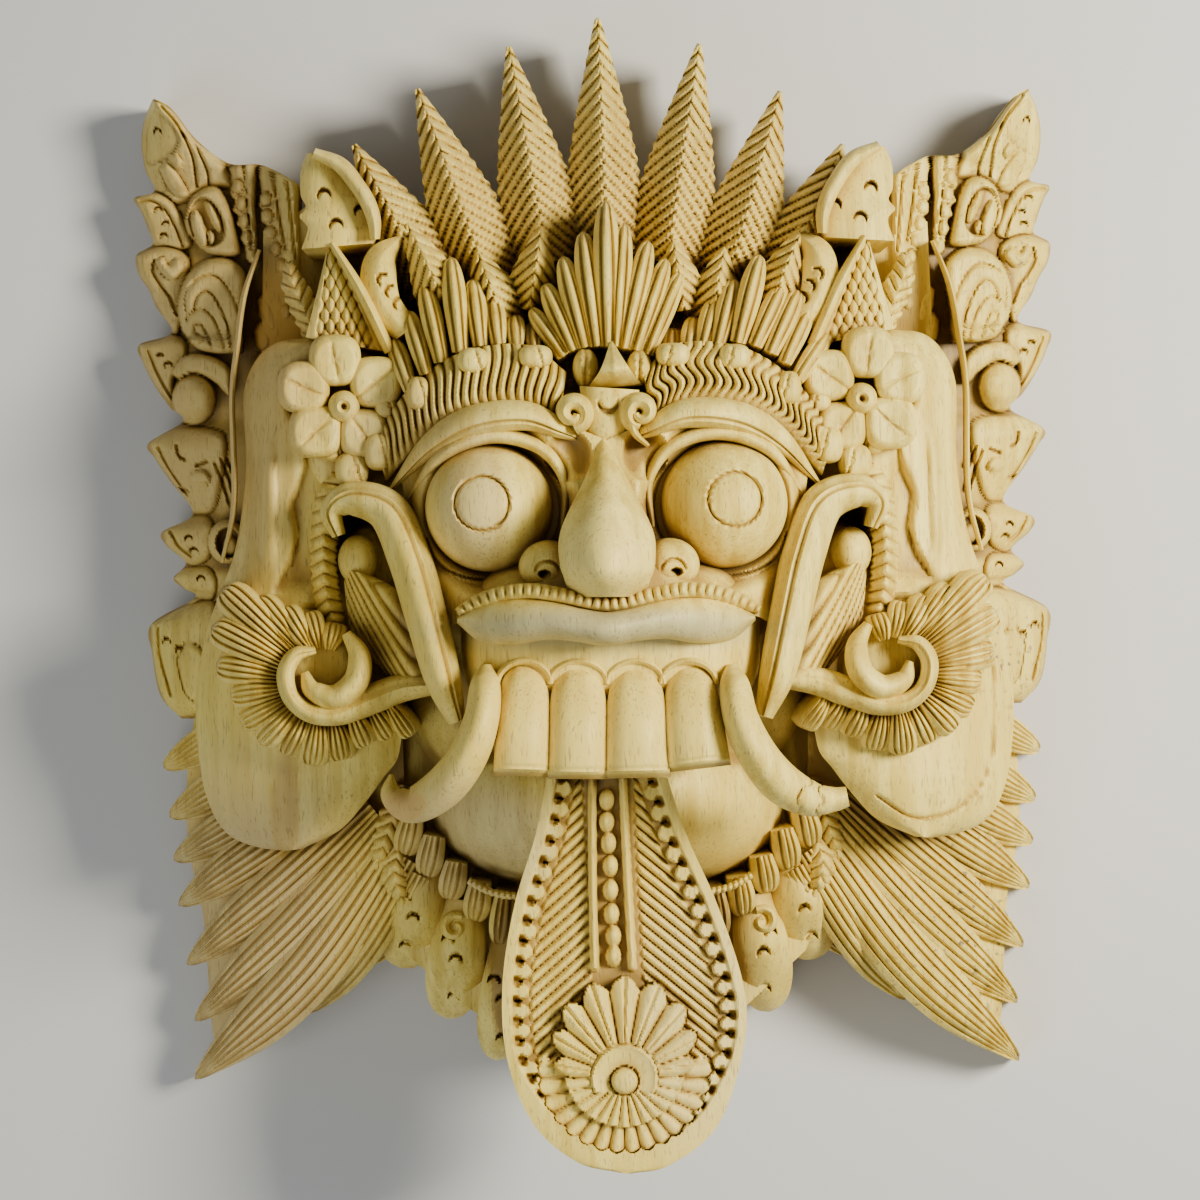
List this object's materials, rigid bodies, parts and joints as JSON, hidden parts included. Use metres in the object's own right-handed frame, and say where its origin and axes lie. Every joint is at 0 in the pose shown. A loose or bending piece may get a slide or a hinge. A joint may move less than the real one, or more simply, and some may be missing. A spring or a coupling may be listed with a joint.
{
  "type": "carved guardian mask",
  "caption": "Carved wooden guardian mask with a spiked crown, bulging eyes, a row of teeth between curled tusks, a long hanging tongue, and leafy side panels; its flat back is scooped hollow.",
  "frame": {"origin": "middle of the mask's bounding box, on the flat back", "axes": "+X to the right of the face as it is looked at, +Y from the tongue towards the crown, +Z out of the face; the mask lies on its back"},
  "size_m": [0.3116, 0.3631, 0.1572],
  "materials": {
    "carved_wood": "bare pale wood, sanded, with a faint sheen and brown in the deep cuts"
  },
  "bodies": {
    "root": {"mask": "carved_wood"}
  },
  "joints": []
}
